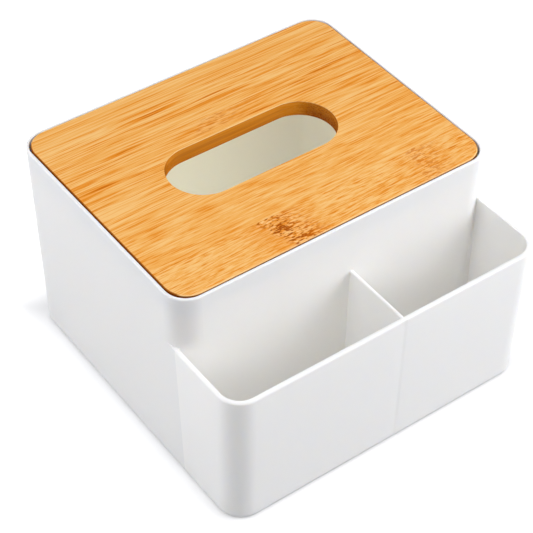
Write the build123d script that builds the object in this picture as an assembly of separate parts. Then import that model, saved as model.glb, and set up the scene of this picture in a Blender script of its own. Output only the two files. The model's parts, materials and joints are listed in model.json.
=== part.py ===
from build123d import *
import os
from math import radians, tan

# A napkin holder with two open pockets along its front and a loose bamboo lid.
# Millimetres, +Z up, front towards -Y. The origin lies under the middle of the object,
# on the surface that it stands on.

# Overall sizes
width_at_rim = 160.0
depth_at_foot = 155.0
body_height = 100.0
stand_off = 1.0

# Draft of the moulded walls, in degrees from upright
box_draft = 1.1
pocket_front_draft = 0.6

# Napkin compartment
compartment_depth = 122.3
compartment_wall = 2.6
rim_wall = 1.3
box_corner_radius = 11.0
rim_outer_round = 0.6
rim_inner_round = 0.3
compartment_floor_round = 2.0

# Pockets and the divider between them
pocket_rim_height = 72.4
pocket_wall = 1.85
pocket_rim_round = 0.9
pocket_corner_radius = 11.0
pocket_floor_round = 1.5
divider_thickness = 1.6
divider_offset = 5.6
divider_bedding = 0.3
bullnose_share = 0.46

# Floor and foot edge
floor_thickness = 2.4
foot_round = 0.5

# Root of the pockets' side walls, which run into the compartment's rounded corners.
# They stand a little proud of the compartment's sides and end there in a witness line.
root_setback_at_rim = 4.0
root_setback_at_foot = 1.2
witness_lap = 0.3
witness_step_at_rim = 0.12
witness_step_at_foot = 0.06
nose_inset = 0.05
wall_bedding = 1.0

# Sink line on the front face, opposite the divider
sink_depth = 0.2
sink_lead_in = 6.5
sink_return = 1.5
sink_overrun = 0.02

# Bamboo lid, glued up from strips
lid_thickness = 8.0
lid_proud = 0.3
lid_gap = 0.4
lid_corner_ease = 1.2
lid_top_round = 0.65
lid_bottom_round = 0.4
slot_length = 82.8
slot_width = 32.4
slot_offset = -1.0
slot_edge_round = 0.5
strip_names = ["front", "second", "third", "fourth", "fifth", "back"]
strip_depth_shares = [0.165, 0.182, 0.195, 0.188, 0.169, 0.101]

# Anti-slip pads
pad_diameter = 10.0
pad_recess_depth = 0.5
pad_recess_gap = 0.2
pad_inset = 15.0
pad_edge_round = 0.3

# How far a cutting tool runs past what it cuts
overrun = 3.0

# Places worked out from the sizes above
box_slope = tan(radians(box_draft))
pocket_front_slope = tan(radians(pocket_front_draft))
back_lean = (body_height - stand_off) * box_slope
front_lean = (pocket_rim_height - stand_off) * pocket_front_slope
back_at_rim = (depth_at_foot + back_lean + front_lean) / 2
front_at_pocket_rim = -back_at_rim
compartment_front = back_at_rim - compartment_depth
floor_top = stand_off + floor_thickness
ledge_height = body_height + lid_proud - lid_thickness


def half_width_at(height):
    """Half the width of the napkin compartment's outside at a height."""
    return width_at_rim / 2 - (body_height - height) * box_slope


def back_at(height):
    """The outside of the back wall at a height."""
    return back_at_rim - (body_height - height) * box_slope


def pocket_front_at(height):
    """The outside of the pockets' front wall at a height."""
    return front_at_pocket_rim + (pocket_rim_height - height) * pocket_front_slope


def compartment_front_at(height):
    """The outside of the compartment's front wall, which is upright."""
    return compartment_front


def between_foot_and_rim(at_foot, at_rim, height):
    """A value that runs evenly from the foot to the pockets' rim."""
    rise_share = (height - stand_off) / (pocket_rim_height - stand_off)
    return at_foot + (at_rim - at_foot) * rise_share


def root_at(height):
    """The root of the gap between a pocket's side wall and the compartment's corner."""
    return compartment_front + between_foot_and_rim(root_setback_at_foot, root_setback_at_rim, height)


def behind_corner_at(height):
    """A place behind the compartment's front corners, where its sides are flat."""
    return compartment_front + box_corner_radius + wall_bedding


def witness_line_at(height):
    """Where the pockets' side walls end on the compartment's sides."""
    return root_at(height) + witness_lap


def pocket_half_width_at(height):
    """Half the width of the pockets' outside, a small step outside the compartment's."""
    step = between_foot_and_rim(witness_step_at_foot, witness_step_at_rim, height)
    return half_width_at(height) + step


def block_between(low_height, high_height, half_width, front, back):
    """A block with flat sloping sides. The last three arguments are functions of the height."""
    sections = []
    for height in (low_height, high_height):
        depth = back(height) - front(height)
        middle = (back(height) + front(height)) / 2
        sections.append(Pos(0, middle, height) * Rectangle(2 * half_width(height), depth))
    return loft(sections, ruled=True)


def upright_edges(solid):
    """Edges that rise more than they run, from front to back."""
    rising = solid.edges().filter_by(lambda edge: abs((edge @ 1 - edge @ 0).Z) > edge.length / 2)
    return rising.sort_by(Axis.Y)


def top_edges(solid):
    return solid.edges().group_by(Axis.Z)[-1].sort_by(Axis.Y)


def bottom_edges(solid):
    return solid.edges().group_by(Axis.Z)[0].sort_by(Axis.Y)


def compartment_outside():
    """The compartment's outside: up to the pockets' rim it runs forward only to the side walls' roots."""
    lower = block_between(stand_off, pocket_rim_height, half_width_at, root_at, back_at)
    lower = fillet(upright_edges(lower)[2:], box_corner_radius)
    lower = fillet(bottom_edges(lower)[1:], foot_round)
    upper = block_between(
        pocket_rim_height, body_height, half_width_at, compartment_front_at, back_at
    )
    upper = fillet(upright_edges(upper), box_corner_radius)
    upper = fillet(top_edges(upper), rim_outer_round)
    return lower + upper


def compartment_nose():
    """The compartment's front wall below the pockets' rim, with the same rounded corners as above it."""

    def half_width(height):
        return half_width_at(height) - nose_inset

    nose = block_between(
        floor_top - floor_thickness / 2,
        pocket_rim_height,
        half_width,
        compartment_front_at,
        behind_corner_at,
    )
    return fillet(upright_edges(nose)[:2], box_corner_radius)


def pocket_tray():
    """The pockets' outer walls and floor, open towards the compartment, with a rounded rim."""

    def inner_half_width(height):
        return pocket_half_width_at(height) - pocket_wall

    def inner_front(height):
        return pocket_front_at(height) + pocket_wall

    def core_back(height):
        return behind_corner_at(height) + overrun

    outside = block_between(
        stand_off, pocket_rim_height, pocket_half_width_at, pocket_front_at, witness_line_at
    )
    outside = fillet(upright_edges(outside)[:2], pocket_corner_radius)
    outside = fillet(bottom_edges(outside)[:-1], foot_round)
    outside = fillet(top_edges(outside)[:-1], pocket_rim_round)
    core = block_between(
        floor_top, pocket_rim_height + overrun, inner_half_width, inner_front, core_back
    )
    core = fillet(upright_edges(core)[:2], pocket_corner_radius - pocket_wall)
    core = fillet(bottom_edges(core)[:-1], pocket_floor_round)
    return outside - core - sink_line()


def sink_line():
    """A shallow dip that curves in towards the divider's line and returns more steeply."""
    sections = []
    for height in (stand_off - overrun, pocket_rim_height + overrun):
        face = pocket_front_at(height)
        start = (divider_offset - sink_lead_in, face - sink_overrun)
        deepest = (divider_offset, face + sink_depth)
        end = (divider_offset + sink_return, face - sink_overrun)
        lead_in = TangentArc(start, deepest, tangent=(1, 0))
        rest = Polyline(deepest, end, start)
        sections.append(Pos(0, 0, height) * make_face([lead_in, rest]))
    return loft(sections, ruled=True)


def divider():
    """The upright wall that parts the two pockets, with a bullnosed top."""

    def half_thickness(height):
        return divider_thickness / 2

    def front_end(height):
        return pocket_front_at(height) + pocket_wall - divider_bedding

    def back_end(height):
        return compartment_front + wall_bedding

    wall = block_between(
        floor_top - floor_thickness / 2, pocket_rim_height, half_thickness, front_end, back_end
    )
    wall = fillet(top_edges(wall)[1:-1], divider_thickness * bullnose_share)
    return Pos(divider_offset, 0, 0) * wall


def compartment_cavity():
    """The napkin compartment's hollow, below and through the lid's seat."""

    def half_width(height):
        return half_width_at(height) - compartment_wall

    def front(height):
        return compartment_front + compartment_wall

    def back(height):
        return back_at(height) - compartment_wall

    cavity = block_between(floor_top, body_height + overrun, half_width, front, back)
    cavity = fillet(upright_edges(cavity), box_corner_radius - compartment_wall)
    return fillet(bottom_edges(cavity), compartment_floor_round)


# The lid's recess follows the rim, and the lid is smaller than the recess by its gap
recess_width = width_at_rim - 2 * rim_wall
recess_depth = compartment_depth - 2 * rim_wall
recess_corner_radius = box_corner_radius - rim_wall
recess_middle = back_at_rim - compartment_depth / 2
lid_width = recess_width - 2 * lid_gap
lid_depth = recess_depth - 2 * lid_gap
lid_corner_radius = recess_corner_radius - lid_gap + lid_corner_ease
lid_front = recess_middle - lid_depth / 2


def lid_recess():
    outline = RectangleRounded(recess_width, recess_depth, recess_corner_radius)
    height = body_height - ledge_height + overrun
    return Pos(0, recess_middle, ledge_height) * extrude(outline, height)


def pad_places():
    """The middles of the pads, set in from the foot's edges, by name."""
    across = half_width_at(stand_off) - pad_inset
    front = pocket_front_at(stand_off) + pad_inset
    back = back_at(stand_off) - pad_inset
    return {
        "front_left": (-across, front),
        "front_right": (across, front),
        "back_left": (-across, back),
        "back_right": (across, back),
    }


def pad_recesses():
    """Tools that sink the four pad seats into the underside."""
    tool_height = pad_recess_depth + overrun
    tool = Cylinder(
        pad_diameter / 2 + pad_recess_gap,
        tool_height,
        align=(Align.CENTER, Align.CENTER, Align.MAX),
    )
    return [Pos(x, y, stand_off + pad_recess_depth) * tool for x, y in pad_places().values()]


def body_moulding():
    """The whole white moulding."""
    body = compartment_outside() + compartment_nose() + pocket_tray() + divider()
    body = body - compartment_cavity() - lid_recess()
    body = body - pad_recesses()
    rim = body.faces().sort_by(Axis.Z)[-1]
    return fillet(rim.inner_wires()[0].edges(), rim_inner_round)


def lid_board():
    """The glued-up board, with its slot and eased edges."""
    board = extrude(RectangleRounded(lid_width, lid_depth, lid_corner_radius), lid_thickness)
    board = fillet(top_edges(board), lid_top_round)
    board = fillet(bottom_edges(board), lid_bottom_round)
    slot = extrude(SlotOverall(slot_length, slot_width), lid_thickness + 2 * overrun)
    board = board - Pos(slot_offset, 0, -overrun) * slot
    for face in (board.faces().sort_by(Axis.Z)[-1], board.faces().sort_by(Axis.Z)[0]):
        board = fillet(face.inner_wires()[0].edges(), slot_edge_round)
    return Pos(0, recess_middle, ledge_height) * board


def lid_strips():
    """The board parted along its glue lines, from front to back."""
    board = lid_board()
    strips = {}
    edge = lid_front
    for name, share in zip(strip_names, strip_depth_shares):
        strip_depth = lid_depth * share
        slab = Box(
            lid_width + 2 * overrun,
            strip_depth,
            lid_thickness + 2 * overrun,
            align=(Align.CENTER, Align.MIN, Align.MIN),
        )
        strips[name] = board & Pos(0, edge, ledge_height - overrun) * slab
        edge = edge + strip_depth
    return strips


def foot_pad():
    """A soft disc that fills its recess and stands the body off the table."""
    pad_thickness = stand_off + pad_recess_depth
    pad = Cylinder(
        pad_diameter / 2, pad_thickness, align=(Align.CENTER, Align.CENTER, Align.MIN)
    )
    return fillet(bottom_edges(pad), pad_edge_round)


os.makedirs("parts", exist_ok=True)
export_step(body_moulding(), "parts/body_moulding.step")
for strip_name, strip in lid_strips().items():
    export_step(strip, f"parts/lid_strip_{strip_name}.step")
for place, (x, y) in pad_places().items():
    export_step(Pos(x, y, 0) * foot_pad(), f"parts/foot_pad_{place}.step")
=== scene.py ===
import json
from math import radians
from typing import NamedTuple

import bmesh
import bpy
from mathutils import Matrix, Vector


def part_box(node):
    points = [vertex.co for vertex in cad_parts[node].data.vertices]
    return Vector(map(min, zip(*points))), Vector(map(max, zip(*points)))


# A white moulded napkin holder with a bamboo lid, on a pale studio floor. Metres, +Z up, front towards -Y.
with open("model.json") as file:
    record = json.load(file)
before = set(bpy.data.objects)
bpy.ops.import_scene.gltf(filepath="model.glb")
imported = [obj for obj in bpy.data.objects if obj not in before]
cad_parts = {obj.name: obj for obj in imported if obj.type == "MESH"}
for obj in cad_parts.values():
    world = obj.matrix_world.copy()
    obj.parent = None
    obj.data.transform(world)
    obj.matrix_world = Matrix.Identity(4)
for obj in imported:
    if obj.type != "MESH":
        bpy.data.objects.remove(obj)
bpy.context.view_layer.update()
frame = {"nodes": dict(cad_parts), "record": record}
nodes = frame["nodes"]

MM = 0.001
PER_MM = 1 / MM


def from_screen(red, green, blue):
    """A colour as the screen shows it, 0 to 255, turned into light."""
    levels = [channel / 255 for channel in (red, green, blue)]
    light = [v / 12.92 if v <= 0.04045 else ((v + 0.055) / 1.055) ** 2.4 for v in levels]
    return (*light, 1.0)


WHITE_SHADE = from_screen(250, 249, 246)
WHITE_LIGHT = from_screen(253, 252, 249)
# A painted shade for the closed compartment's walls
WHITE_CLOSED_SHADE = from_screen(242, 242, 241)
BAMBOO_PALE = from_screen(248, 197, 124)
BAMBOO_GOLD = from_screen(243, 176, 90)
BAMBOO_STREAK = from_screen(234, 142, 38)
BAMBOO_DEEP = from_screen(206, 104, 10)
BAMBOO_KNOT = from_screen(160, 74, 6)
# A painted highlight among the knots' flecks
BAMBOO_PAINTED_GLINT = from_screen(254, 214, 150)
BAMBOO_SIDE = from_screen(205, 126, 28)
BAMBOO_LAYER = from_screen(170, 93, 10)
# End grain, dark partly of its own and partly as a painted shade
BAMBOO_END_GRAIN_AND_SHADE = from_screen(112, 42, 0)
# A painted highlight on the lid's eased edges
BAMBOO_EASED_HIGHLIGHT = from_screen(255, 222, 160)
# The lid's end edges: darker partly as end grain and partly as a painted shade on the rounding
BAMBOO_END_EDGE_GRAIN_AND_SHADE = from_screen(160, 80, 8)
# A painted shadow for the gap around the lid
BAMBOO_GAP_SHADOW = from_screen(96, 42, 6)
PAD_DARK = from_screen(176, 176, 174)
PAD_LIGHT = from_screen(198, 198, 195)

# Where a noise has its middle, and the span that most of it keeps to
NOISE_MIDDLE = 0.5
NOISE_SPAN = (0.3, 0.7)


class Wire:
    """A socket in a node tree. Python's operators on it add Math nodes."""

    def __init__(self, tree, socket=None):
        self.tree = tree
        self.socket = socket

    def node(self, kind, settings, sockets, output=0):
        """Add a node of a kind, set it up, feed its sockets and return one of its outputs."""
        made = self.tree.nodes.new(kind)
        for name, setting in settings.items():
            setattr(made, name, setting)
        for key, value in sockets.items():
            if isinstance(value, Wire):
                self.tree.links.new(value.socket, made.inputs[key])
            else:
                made.inputs[key].default_value = value
        return Wire(self.tree, made.outputs[output])

    def sibling(self, output):
        """Another output of the node that this wire comes from."""
        return Wire(self.tree, self.socket.node.outputs[output])

    def math(self, operation, first, second):
        return self.node("ShaderNodeMath", {"operation": operation}, {0: first, 1: second})

    def __add__(self, other):
        return self.math("ADD", self, other)

    __radd__ = __add__

    def __sub__(self, other):
        return self.math("SUBTRACT", self, other)

    def __rsub__(self, other):
        return self.math("SUBTRACT", other, self)

    def __mul__(self, other):
        return self.math("MULTIPLY", self, other)

    __rmul__ = __mul__

    def __abs__(self):
        return self.math("ABSOLUTE", self, 0.0)

    def most(self, other):
        return self.math("MAXIMUM", self, other)

    def between(self, low, high):
        """0 at low, 1 at high, with a soft step between them."""
        sockets = {"Value": self, "From Min": low, "From Max": high}
        return self.node("ShaderNodeMapRange", {"interpolation_type": "SMOOTHSTEP"}, sockets)

    def past(self, near, far):
        """0 as far as near on either side of zero, 1 from far on, with a soft step between them."""
        return (self * self).between(near ** 2, far ** 2)

    def spread(self, low, high, to_low, to_high):
        """A straight change of range, held at its ends."""
        sockets = {"Value": self, "From Min": low, "From Max": high, "To Min": to_low, "To Max": to_high}
        return self.node("ShaderNodeMapRange", {"clamp": True}, sockets)

    def parts(self):
        """The three parts of a vector."""
        made = self.node("ShaderNodeSeparateXYZ", {}, {"Vector": self})
        return [made.sibling(axis) for axis in range(3)]

    def placed(self, move, scale):
        """A vector moved and then scaled along each axis."""
        moved = self.node("ShaderNodeVectorMath", {"operation": "ADD"}, {0: self, 1: move})
        return moved.node("ShaderNodeVectorMath", {"operation": "MULTIPLY"}, {0: moved, 1: scale})

    def noise(self, detail=2.0, roughness=0.5):
        """Cloudy noise, one cloud for each unit of this vector."""
        sockets = {"Vector": self, "Scale": 1.0, "Detail": detail, "Roughness": roughness}
        return self.node("ShaderNodeTexNoise", {"noise_dimensions": "3D"}, sockets)

    def tinted(self, below, above):
        """A colour between two others, where this value is the share of the second."""
        settings = {"data_type": "RGBA", "blend_type": "MIX"}
        return self.node("ShaderNodeMix", settings, {0: self, 6: below, 7: above}, 2)


class Finish:
    """A material with one principled shader, and the vectors that its patterns read, in millimetres."""

    def __init__(self, name, **constants):
        self.material = bpy.data.materials.new(name)
        self.material.use_nodes = True
        self.tree = self.material.node_tree
        self.shader = self.tree.nodes["Principled BSDF"]
        for socket, value in constants.items():
            self.shader.inputs[socket.replace("_", " ")].default_value = value
        start = Wire(self.tree)
        place = start.node("ShaderNodeTexCoord", {}, {}, "Object")
        self.place = place.placed((0, 0, 0), (PER_MM, PER_MM, PER_MM))
        self.normal = start.node("ShaderNodeNewGeometry", {}, {}, "Normal")

    def vector(self, x, y, z):
        return self.place.node("ShaderNodeCombineXYZ", {}, {"X": x, "Y": y, "Z": z})

    def feed(self, socket, wire):
        self.tree.links.new(wire.socket, self.shader.inputs[socket])

    def emboss(self, height, depth_mm):
        """Raise the surface by a height pattern, in millimetres at its full value."""
        sockets = {"Height": height, "Strength": 1.0, "Distance": depth_mm * MM}
        self.feed("Normal", height.node("ShaderNodeBump", {}, sockets))


# The plastic's patterns: a rate is the number of clouds in a millimetre along X, Y and Z
CLOUD_RATE = (0.03, 0.03, 0.02)
FLOW_RATE = (0.12, 0.12, 0.016)
FLOW_MOVE = (7, 3, 0)
CLOUD_SHARE = 0.6
MOULD_GRAIN_RATE = (2.6, 2.6, 2.6)
MOULD_GRAIN_DEPTH = 0.006
MOULD_GRAIN_SHARE = 0.5
WHITE_ROUGHNESS = (0.38, 0.5)
# The closed compartment's walls, painted a shade darker than the pockets' for the light that they pass less
# of, in millimetres: the heights of both rims, the leaning line on the side wall where the pockets begin, and
# the depth over which the front wall's painted shade comes in
POCKET_RIM = (72.2, 72.8)
COMPARTMENT_RIM = (98.8, 99.6)
WITNESS_FOOT = -42.02
WITNESS_LEAN = 0.0392
WITNESS_SPAN = (0.0, 0.2)
FRONT_WALL_SPAN = (-43.5, -33.0)


def moulded_white():
    """Satin white plastic, faintly cloudy, with its mould's grain and a painted shade on the closed
    compartment's walls, which pass less light through than the open pockets' walls.
    """
    finish = Finish(
        "moulded_white",
        IOR=1.49,
        Specular_IOR_Level=0.15,
        Subsurface_Weight=0.6,
        Subsurface_Scale=0.002,
        Subsurface_Radius=(1.0, 0.9, 0.75),
    )
    clouds = finish.place.placed((0, 0, 0), CLOUD_RATE).noise(detail=3.0, roughness=0.55)
    flow = finish.place.placed(FLOW_MOVE, FLOW_RATE).noise()
    tone = clouds * CLOUD_SHARE + flow * (1 - CLOUD_SHARE)
    colour = tone.tinted(WHITE_SHADE, WHITE_LIGHT)
    x, y, z = finish.place.parts()
    above = z.between(*POCKET_RIM)
    # Painted shade on the closed compartment's walls: behind the pockets below their rim, and the walls above
    # it
    behind = (y - z * WITNESS_LEAN - WITNESS_FOOT).between(*WITNESS_SPAN)
    closed = behind * (1 - above) + y.between(*FRONT_WALL_SPAN) * above
    closed = closed * (1 - z.between(*COMPARTMENT_RIM))
    finish.feed("Base Color", closed.tinted(colour, WHITE_CLOSED_SHADE))
    grain = finish.place.placed((0, 0, 0), MOULD_GRAIN_RATE).noise(roughness=0.6)
    satin = grain * MOULD_GRAIN_SHARE + clouds * (1 - MOULD_GRAIN_SHARE)
    finish.feed("Roughness", satin.spread(*NOISE_SPAN, *WHITE_ROUGHNESS))
    finish.emboss(grain, MOULD_GRAIN_DEPTH)
    return finish.material


# The lid's outline in millimetres
strip_boxes = [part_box(name) for name in nodes if name.startswith("lid_strip")]
lid_top = max(high.z for low, high in strip_boxes) * PER_MM
lid_thickness = lid_top - min(low.z for low, high in strip_boxes) * PER_MM
lid_front = min(low.y for low, high in strip_boxes) * PER_MM
lid_back = max(high.y for low, high in strip_boxes) * PER_MM
lid_end = max(high.x for low, high in strip_boxes) * PER_MM
lid_middle = (lid_front + lid_back) / 2
lid_half_depth = (lid_back - lid_front) / 2

# The bamboo's patterns: a rate is the number of clouds in a millimetre along the strip, across and down
SEED_STEP = (137.0, 31.0, 57.0)
SWAY_RATE = (0.016, 0.06, 0.06)
SWAY_WIDTH = 3.0
BAND_RATE = (0.007, 0.10, 0.10)
STREAK_RATE = (0.016, 0.36, 0.36)
FIBRE_RATE_ACROSS = 1.45
LONG_LINE_RATE = (0.012, 0.45, 0.45)
LONG_LINE_SPAN = (0.58, 0.70)
# How strongly each pattern darkens a strip's face, and where each darker colour comes in
BAND_DEPTH = 0.5
STREAK_DEPTH = 0.45
FIBRE_DEPTH = 3.3
GOLD_SPAN = (0.05, 0.42)
STREAK_SPAN = (0.42, 0.85)
DEEP_SPAN = (0.85, 1.25)
FACE_COAT = 0.12
FACE_ROUGHNESS = (0.42, 0.58)
FACE_RELIEF = 0.02
FIBRE_RELIEF_SHARE = 0.6

# A knot: where its flush and its flecked field come in and fade along the grain, in millimetres from its line
KNOT_CORE_SHARE = 0.7
RAGGED_RATE = (0.3, 0.6, 0.6)
RAGGED_WIDTH = 5.0
FLUSH_START = (-18.0, 0.0)
FLUSH_FADE = 4.0
FLUSH_END = 28.0
FIELD_START = (-3.0, 1.0)
FIELD_FADE = 1.0
FIELD_END = 24.0
# How strongly the flush warms the plain face and its fibres, how the flecks lean and are spread, and the
# painted glints among them, pale highlights as if the flecks stood in relief
FLUSH_PLAIN = 0.3
FLUSH_ON_FIBRES = 0.5
FLUSH_FIBRE_SPAN = (0.40, 0.60)
FLECK_RATE_ALONG = 0.46
FLECK_RATE_ACROSS = 1.35
FLECK_RATE_DOWN = 0.6
FLECK_LEAN = 0.4
FLECK_SWAY = 5.0
PAINTED_GLINT_SPAN = (0.32, 0.42)
PAINTED_GLINT_STRENGTH = 0.7
DARK_SPAN = (0.49, 0.62)
DARK_STRENGTH = 0.9
DEEP_FIELD_SPAN = (0.0, 0.7)
KNOT_FIELD_SPAN = (0.5, 1.0)

# The lid's sides, in millimetres below its top or above its underside
SIDE_START = (0.05, 0.6)
UNDERSIDE_START = 0.4
UNDERSIDE_FULL = 0.05
SIDE_STRENGTH = 0.92
LOW_START = 0.5
LAYER_RATE = (0.02, 0.2, 0.9)
LAYER_SPAN = (0.35, 0.65)
LAYER_SHARE = 0.6
# End grain, dark partly of its own and partly as painted shade: from which turn of the side towards X it
# shows, squared, and what darkens it
END_FACING = (0.15, 0.8)
END_PLAIN = 0.4
END_LOW = 0.35
END_PORES = 0.4
PORE_RATE = (1.4, 1.4, 1.4)
PORE_SPAN = (0.45, 0.65)

# The lid's edges, in millimetres below its top: painted highlights on the eased edges, a darker top edge at
# its ends that is partly end grain and partly painted shade, and a painted shadow line for the gap around the
# lid
EASED_START = (0.0, 0.06)
EASED_END = (0.35, 0.7)
EASED_SLOT = 0.9
EASED_SLOT_BEND = 0.7
EASED_SLOT_FACING = (0.02, 0.3)
EASED_RIM = 0.45
END_EDGE_START = (0.0, 0.08)
END_EDGE_STRENGTH = 0.95
GAP_SHADOW_START = (0.3, 0.6)
GAP_SHADOW_STRENGTH = 0.85
TOP_LINE_END = (0.8, 1.5)
# How far in from the lid's outline its ends and its outer border reach, in millimetres
ENDS_FADE = 3.0
ENDS_FULL = 1.5
OUTER_FADE = 12.0
OUTER_FULL = 10.0


class Knot(NamedTuple):
    """A knot's middle in millimetres, how it crosses its strip, and how strong, long and wide it is."""
    x: float
    y: float
    slant: float
    strength: float
    stretch: float
    half_width: float


class Strip(NamedTuple):
    """A strip's looks. The fibre's length is in millimetres, and long_lines is the strength of dark lines."""
    seed: int
    tone: float
    contrast: float
    fibre_length: float
    long_lines: float
    knots: tuple = ()


class Bamboo(Finish):
    """One strip's bamboo: fine fibres along X, broader streaks behind them, knots, sides and edges."""

    def __init__(self, name, strip):
        super().__init__(f"bamboo_{name}", Specular_IOR_Level=0.0, Coat_Roughness=0.35)
        self.x, self.y, self.z = self.place.parts()
        self.shift = tuple(strip.seed * step for step in SEED_STEP)
        self.sway = self.place.placed(self.shift, SWAY_RATE).noise() - NOISE_MIDDLE
        self.bent = self.vector(self.x, self.y + self.sway * SWAY_WIDTH, self.z)
        self.streaks = self.bent.placed(self.shift, STREAK_RATE).noise(roughness=0.6)
        fibre_rate = (1 / strip.fibre_length, FIBRE_RATE_ACROSS, FIBRE_RATE_ACROSS)
        self.fibres = self.bent.placed(self.shift, fibre_rate).noise(detail=3.0, roughness=0.6)
        self.drop = lid_top - self.z
        underside = self.drop.between(lid_thickness - UNDERSIDE_START, lid_thickness - UNDERSIDE_FULL)
        self.side = self.drop.between(*SIDE_START) * (1 - underside)
        facing_x = self.normal.parts()[0]
        self.facing_end = facing_x * facing_x

    def face(self, strip):
        """The colour of the strip's broad faces."""
        bands = self.bent.placed(self.shift, BAND_RATE).noise()
        long_lines = self.bent.placed(self.shift, LONG_LINE_RATE).noise(detail=1.0).between(*LONG_LINE_SPAN)
        depth = (bands - NOISE_MIDDLE) * BAND_DEPTH + (self.streaks - NOISE_MIDDLE) * STREAK_DEPTH
        depth = depth + (self.fibres - NOISE_MIDDLE) * FIBRE_DEPTH + long_lines * strip.long_lines
        depth = depth * strip.contrast + strip.tone
        colour = depth.between(*GOLD_SPAN).tinted(BAMBOO_PALE, BAMBOO_GOLD)
        colour = depth.between(*STREAK_SPAN).tinted(colour, BAMBOO_STREAK)
        return depth.between(*DEEP_SPAN).tinted(colour, BAMBOO_DEEP)

    def with_knot(self, colour, knot):
        """A knot over a colour: a warm flush, flecks that darken towards the knot's line, and painted glints,
        pale highlights among the flecks.
        """
        off_y = self.y - knot.y
        inside = (1 - off_y.past(knot.half_width * KNOT_CORE_SHARE, knot.half_width)) * knot.strength
        ragged = self.place.placed(self.shift, RAGGED_RATE).noise(roughness=0.6) - NOISE_MIDDLE
        along = self.x - knot.x - off_y * knot.slant + ragged * RAGGED_WIDTH
        flush_left = 1 - along.between(FLUSH_FADE, FLUSH_END * knot.stretch)
        flush = along.between(*FLUSH_START) * flush_left * inside
        warmth = FLUSH_PLAIN + self.fibres.between(*FLUSH_FIBRE_SPAN) * FLUSH_ON_FIBRES
        colour = (flush * warmth).tinted(colour, BAMBOO_STREAK)
        field_left = 1 - along.between(FIELD_FADE, FIELD_END * knot.stretch)
        field = along.between(*FIELD_START) * field_left * inside
        leaning = self.vector(self.x + self.y * FLECK_LEAN, self.y + self.sway * FLECK_SWAY, self.z)
        fleck_rate = (FLECK_RATE_ALONG / knot.stretch, FLECK_RATE_ACROSS, FLECK_RATE_DOWN)
        flecks = leaning.placed(self.shift, fleck_rate).noise(detail=1.0)
        # Painted glints: pale highlights among the flecks, as if they stood in relief
        painted_glint = (1 - flecks.between(*PAINTED_GLINT_SPAN)) * field
        colour = (painted_glint * PAINTED_GLINT_STRENGTH).tinted(colour, BAMBOO_PAINTED_GLINT)
        dark = flecks.between(*DARK_SPAN)
        colour = (dark * field.between(*DEEP_FIELD_SPAN) * DARK_STRENGTH).tinted(colour, BAMBOO_DEEP)
        return (dark * field.between(*KNOT_FIELD_SPAN) * DARK_STRENGTH).tinted(colour, BAMBOO_KNOT)

    def with_sides(self, colour):
        """Layered sides over a colour, darker towards the underside, with darker end grain where they face
        along the strip, partly its own colour and partly painted shade.
        """
        low = self.drop.between(LOW_START, lid_thickness)
        ends = self.facing_end.between(*END_FACING)
        pores = self.place.placed(self.shift, PORE_RATE).noise(roughness=0.6).between(*PORE_SPAN)
        layers = self.bent.placed(self.shift, LAYER_RATE).noise(roughness=0.6).between(*LAYER_SPAN)
        side = (layers * LAYER_SHARE + low * (1 - LAYER_SHARE)).tinted(BAMBOO_SIDE, BAMBOO_LAYER)
        # End grain: partly its own darker colour, partly painted shade, darker towards the underside
        side = (ends * (END_PLAIN + low * END_LOW + pores * END_PORES)).tinted(side, BAMBOO_END_GRAIN_AND_SHADE)
        return (self.side * SIDE_STRENGTH).tinted(colour, side)

    def with_edges(self, colour):
        """Painted highlights on the eased edges over a colour, a darker top edge at the lid's ends, partly
        end grain and partly painted shade, and a painted shadow line under the lid's outer edge, for the gap
        between lid and rim.
        """
        off_middle = self.y - lid_middle
        at_ends = self.x.past(lid_end - ENDS_FADE, lid_end - ENDS_FULL)
        outer = self.x.past(lid_end - OUTER_FADE, lid_end - OUTER_FULL)
        outer = outer.most(off_middle.past(lid_half_depth - OUTER_FADE, lid_half_depth - OUTER_FULL))
        # Painted highlights along the eased edges of the slot and of the lid's outline
        eased = self.drop.between(*EASED_START) * (1 - self.drop.between(*EASED_END))
        slot_highlight_share = EASED_SLOT - self.facing_end.between(*EASED_SLOT_FACING) * EASED_SLOT_BEND
        colour = (eased * (1 - outer) * slot_highlight_share).tinted(colour, BAMBOO_EASED_HIGHLIGHT)
        colour = (eased * outer * (1 - at_ends) * EASED_RIM).tinted(colour, BAMBOO_EASED_HIGHLIGHT)
        near_top = 1 - self.drop.between(*TOP_LINE_END)
        # At the lid's ends the top edge darkens: partly end grain, partly painted shade on the rounding
        end_edge_grain_and_shade = self.drop.between(*END_EDGE_START) * near_top * at_ends
        colour = (end_edge_grain_and_shade * END_EDGE_STRENGTH).tinted(colour, BAMBOO_END_EDGE_GRAIN_AND_SHADE)
        # A painted shadow line under the lid's outer edge, for the gap between lid and rim
        gap_shadow = self.drop.between(*GAP_SHADOW_START) * near_top * outer
        return (gap_shadow * GAP_SHADOW_STRENGTH).tinted(colour, BAMBOO_GAP_SHADOW)


def bamboo(name, strip):
    """A strip's material, with the strip's knots and a thin clear coat on its faces."""
    finish = Bamboo(name, strip)
    colour = finish.face(strip)
    for knot in strip.knots:
        colour = finish.with_knot(colour, knot)
    colour = finish.with_edges(finish.with_sides(colour))
    relief = finish.fibres * FIBRE_RELIEF_SHARE + finish.streaks * (1 - FIBRE_RELIEF_SHARE)
    finish.feed("Base Color", colour)
    finish.feed("Coat Weight", (1 - finish.side) * FACE_COAT)
    finish.feed("Roughness", finish.fibres.spread(*NOISE_SPAN, *FACE_ROUGHNESS))
    finish.emboss(relief, FACE_RELIEF)
    return finish.material


PAD_TOOTH_RATE = (1.8, 1.8, 1.8)
PAD_TOOTH_DEPTH = 0.03
PAD_ROUGHNESS = (0.65, 0.8)


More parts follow.
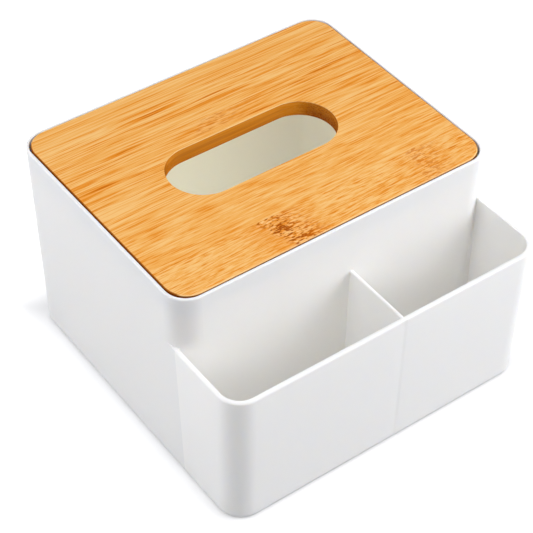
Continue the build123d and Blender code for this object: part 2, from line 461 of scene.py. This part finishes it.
def soft_pad():
    """Matt grey rubber with a fine tooth."""
    finish = Finish("soft_pad", Specular_IOR_Level=0.3)
    tooth = finish.place.placed((0, 0, 0), PAD_TOOTH_RATE).noise(detail=3.0, roughness=0.6)
    finish.feed("Base Color", tooth.tinted(PAD_DARK, PAD_LIGHT))
    finish.feed("Roughness", tooth.spread(*NOISE_SPAN, *PAD_ROUGHNESS))
    finish.emboss(tooth, PAD_TOOTH_DEPTH)
    return finish.material


def dress(node, material):
    """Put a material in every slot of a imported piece."""
    for slot in nodes[node].material_slots:
        slot.material = material


STRIPS = {
    "front": Strip(
        seed=1,
        tone=0.38,
        contrast=1.0,
        fibre_length=8.0,
        long_lines=0.0,
        knots=(
            Knot(x=-24.5, y=-32.0, slant=-0.35, strength=1.0, stretch=1.0, half_width=14.0),
            Knot(x=48.0, y=-32.0, slant=0.2, strength=0.45, stretch=1.0, half_width=14.0),
        ),
    ),
    "second": Strip(seed=2, tone=0.38, contrast=0.75, fibre_length=12.0, long_lines=0.1),
    "third": Strip(seed=3, tone=0.38, contrast=0.9, fibre_length=24.0, long_lines=0.2),
    "fourth": Strip(
        seed=4,
        tone=0.42,
        contrast=1.0,
        fibre_length=26.0,
        long_lines=0.3,
        knots=(Knot(x=-12.0, y=41.0, slant=1.0, strength=0.42, stretch=1.8, half_width=5.0),),
    ),
    "fifth": Strip(seed=5, tone=0.40, contrast=0.95, fibre_length=28.0, long_lines=0.45),
    "back": Strip(seed=6, tone=0.40, contrast=0.8, fibre_length=45.0, long_lines=0.3),
}

dress("body_moulding", moulded_white())
for name, strip in STRIPS.items():
    dress(f"lid_strip_{name}", bamboo(name, strip))
pad_material = soft_pad()
for node in nodes:
    if node.startswith("foot_pad"):
        dress(node, pad_material)

FLOOR_HALF = 4.0
FLOOR_PAINT = 0.9
FLOOR_BOUNCE = 0.42
# The floor's glow to the camera: weaker near the foot as a painted shade around it, stronger around it, and
# white from a distance on, painted light that fills in the object's shadow
FLOOR_GLOW_NEAR = 0.1
FLOOR_GLOW = 0.54
FLOOR_GLOW_WHITE = 1.0
FLOOR_WHITE_DISTANCE = 0.2
# The foot's half sizes, and how far beside and before it the near glow gives way
FOOT_HALF_WIDTH = 0.0785
FOOT_HALF_DEPTH = 0.0775
NEAR_BESIDE = (-0.003, 0.018)
NEAR_BEFORE = (0.0, 0.035)


def grey(level):
    """A neutral colour."""
    return (level, level, level, 1.0)


def seen_directly(tree):
    """1 on the rays that show a surface to the camera, straight, mirrored or through glass."""
    camera = Wire(tree).node("ShaderNodeLightPath", {}, {}, "Is Camera Ray")
    return camera.most(camera.sibling("Is Glossy Ray")).most(camera.sibling("Is Transmission Ray"))


def pale_floor():
    """Paint that keeps the object's shadow and shows white to the camera, with a painted shade where its glow
    is weaker near the foot and painted light that fills in the shadow further out.
    """
    material = bpy.data.materials.new("pale_floor")
    material.use_nodes = True
    tree = material.node_tree
    tree.nodes.remove(tree.nodes["Principled BSDF"])
    start = Wire(tree)
    seen = seen_directly(tree)
    tone = seen.tinted(grey(FLOOR_BOUNCE), grey(FLOOR_PAINT))
    paint = start.node("ShaderNodeBsdfDiffuse", {}, {"Color": tone})
    x, y, z = start.node("ShaderNodeTexCoord", {}, {}, "Object").parts()
    beside = abs(x) - FOOT_HALF_WIDTH
    before = 0 - y - FOOT_HALF_DEPTH
    behind = y - FOOT_HALF_DEPTH
    clear = beside.most(behind).between(*NEAR_BESIDE).most(before.between(*NEAR_BEFORE))
    # Painted shade and light: the glow is weakest at the foot and grows outwards
    level = clear * (FLOOR_GLOW - FLOOR_GLOW_NEAR) + FLOOR_GLOW_NEAR
    away = beside.most(before).most(behind)
    level = level + away.spread(0.0, FLOOR_WHITE_DISTANCE, 0.0, FLOOR_GLOW_WHITE - FLOOR_GLOW)
    glow = start.node("ShaderNodeEmission", {}, {"Color": grey(1.0), "Strength": seen * level})
    both = start.node("ShaderNodeAddShader", {}, {0: paint, 1: glow})
    tree.links.new(both.socket, tree.nodes["Material Output"].inputs["Surface"])
    return material


def studio_floor():
    """A wide flat floor at the height of the pads' undersides."""
    shape = bmesh.new()
    bmesh.ops.create_grid(shape, x_segments=1, y_segments=1, size=FLOOR_HALF)
    mesh = bpy.data.meshes.new("floor")
    shape.to_mesh(mesh)
    shape.free()
    mesh.materials.append(pale_floor())
    floor = bpy.data.objects.new("floor", mesh)
    bpy.context.scene.collection.objects.link(floor)


studio_floor()

SOFTBOX_DISTANCE = 0.9
SOFTBOX_SIZE = 0.8
SOFTBOX_AIM = (0, 0, 0.05)
DAYLIGHT = (0.985, 0.99, 1.02)
# Each softbox's azimuth, 0 in front, its elevation, and its power in watts
SOFTBOXES = {
    "left_back_softbox": (-130, 15, 5.25),
    "right_back_softbox": (165, 6, 1.6),
    "left_high_softbox": (-60, 50, 3.7),
    "right_high_softbox": (60, 50, 3.6),
    "right_front_softbox": (45, 15, 5.4),
    "front_top_softbox": (-12, 70, 0.5),
}


def add_lamp(name, kind, watts, colour, place, in_gloss=True, **settings):
    """Add a lamp that the camera doesn't see. An area lamp shines along its own -Z."""
    lamp = bpy.data.lights.new(name, kind)
    lamp.energy = watts
    lamp.color = colour
    for setting, value in settings.items():
        setattr(lamp, setting, value)
    light = bpy.data.objects.new(name, lamp)
    light.matrix_world = place
    light.visible_camera = False
    light.visible_glossy = in_gloss
    bpy.context.scene.collection.objects.link(light)


def softbox(name, azimuth, elevation, watts):
    """A large square lamp that looks at the middle of the object."""
    turn = Matrix.Rotation(radians(azimuth), 4, "Z") @ Matrix.Rotation(radians(90 - elevation), 4, "X")
    place = Matrix.Translation(SOFTBOX_AIM) @ turn @ Matrix.Translation((0, 0, SOFTBOX_DISTANCE))
    add_lamp(name, "AREA", watts, DAYLIGHT, place, shape="SQUARE", size=SOFTBOX_SIZE)


for name, (azimuth, elevation, watts) in SOFTBOXES.items():
    softbox(name, azimuth, elevation, watts)

GLOW_RADIUS = 0.02
GLOW_WATTS = 0.048
GLOW_COLOUR = (0.89, 1.0, 0.83)
GLOW_PLACE = (-0.005, 0.012, 0.045)
POCKET_GLOW_WATTS = 0.0008
POCKET_GLOW_COLOUR = (1.0, 0.95, 0.86)
POCKET_GLOW_HEIGHT_SHARE = 0.5


def compartment_glow():
    """A weak lamp in the closed compartment, for the light that its translucent walls let in."""
    place = Matrix.Translation(GLOW_PLACE)
    add_lamp("compartment_glow", "POINT", GLOW_WATTS, GLOW_COLOUR, place, False, shadow_soft_size=GLOW_RADIUS)


def pocket_glow(opening):
    """A weak lamp low on the inside of a pocket's front wall, for the light that comes through that wall."""
    low, high = [Vector(corner) for corner in opening["box_m"]]
    name = f"{opening['name']}_glow"
    width = high.x - low.x
    height = (high.z - low.z) * POCKET_GLOW_HEIGHT_SHARE
    wall = Matrix.Translation(((low.x + high.x) / 2, low.y, low.z + height / 2))
    place = wall @ Matrix.Rotation(radians(90), 4, "X")
    shape = {"shape": "RECTANGLE", "size": width, "size_y": height}
    add_lamp(name, "AREA", POCKET_GLOW_WATTS, POCKET_GLOW_COLOUR, place, False, **shape)


compartment_glow()
for opening in frame["record"]["physics"]["openings"]:
    if opening["name"].endswith("_pocket"):
        pocket_glow(opening)

WORLD_LIGHT = 0.09


def white_world():
    """A faint even light that shows as plain white."""
    world = bpy.data.worlds.new("studio")
    bpy.context.scene.world = world
    world.use_nodes = True
    tree = world.node_tree
    background = tree.nodes["Background"]
    background.inputs["Color"].default_value = grey(1.0)
    strength = seen_directly(tree).spread(0.0, 1.0, WORLD_LIGHT, 1.0)
    tree.links.new(strength.socket, background.inputs["Strength"])


white_world()

CAMERA_PLACE = Vector((-0.328566, -0.430729, 0.564643))
CAMERA_AZIMUTH = -36.8481
CAMERA_ELEVATION = 43.8980
CAMERA_ROLL = 1.0645
CAMERA_LENS = 115.842
CAMERA_SENSOR = 36.0
CAMERA_NEAR = 0.01
CAMERA_FAR = 20.0


def studio_camera():
    """The photograph's view, fitted to the object's straight edges."""
    data = bpy.data.cameras.new("camera")
    data.lens = CAMERA_LENS
    data.sensor_width = CAMERA_SENSOR
    data.clip_start = CAMERA_NEAR
    data.clip_end = CAMERA_FAR
    camera = bpy.data.objects.new("camera", data)
    camera.matrix_world = (
        Matrix.Translation(CAMERA_PLACE)
        @ Matrix.Rotation(radians(CAMERA_AZIMUTH), 4, "Z")
        @ Matrix.Rotation(radians(90 - CAMERA_ELEVATION), 4, "X")
        @ Matrix.Rotation(radians(CAMERA_ROLL), 4, "Z")
    )
    bpy.context.scene.collection.objects.link(camera)
    bpy.context.scene.camera = camera


studio_camera()
bpy.context.scene.view_settings.view_transform = "Standard"
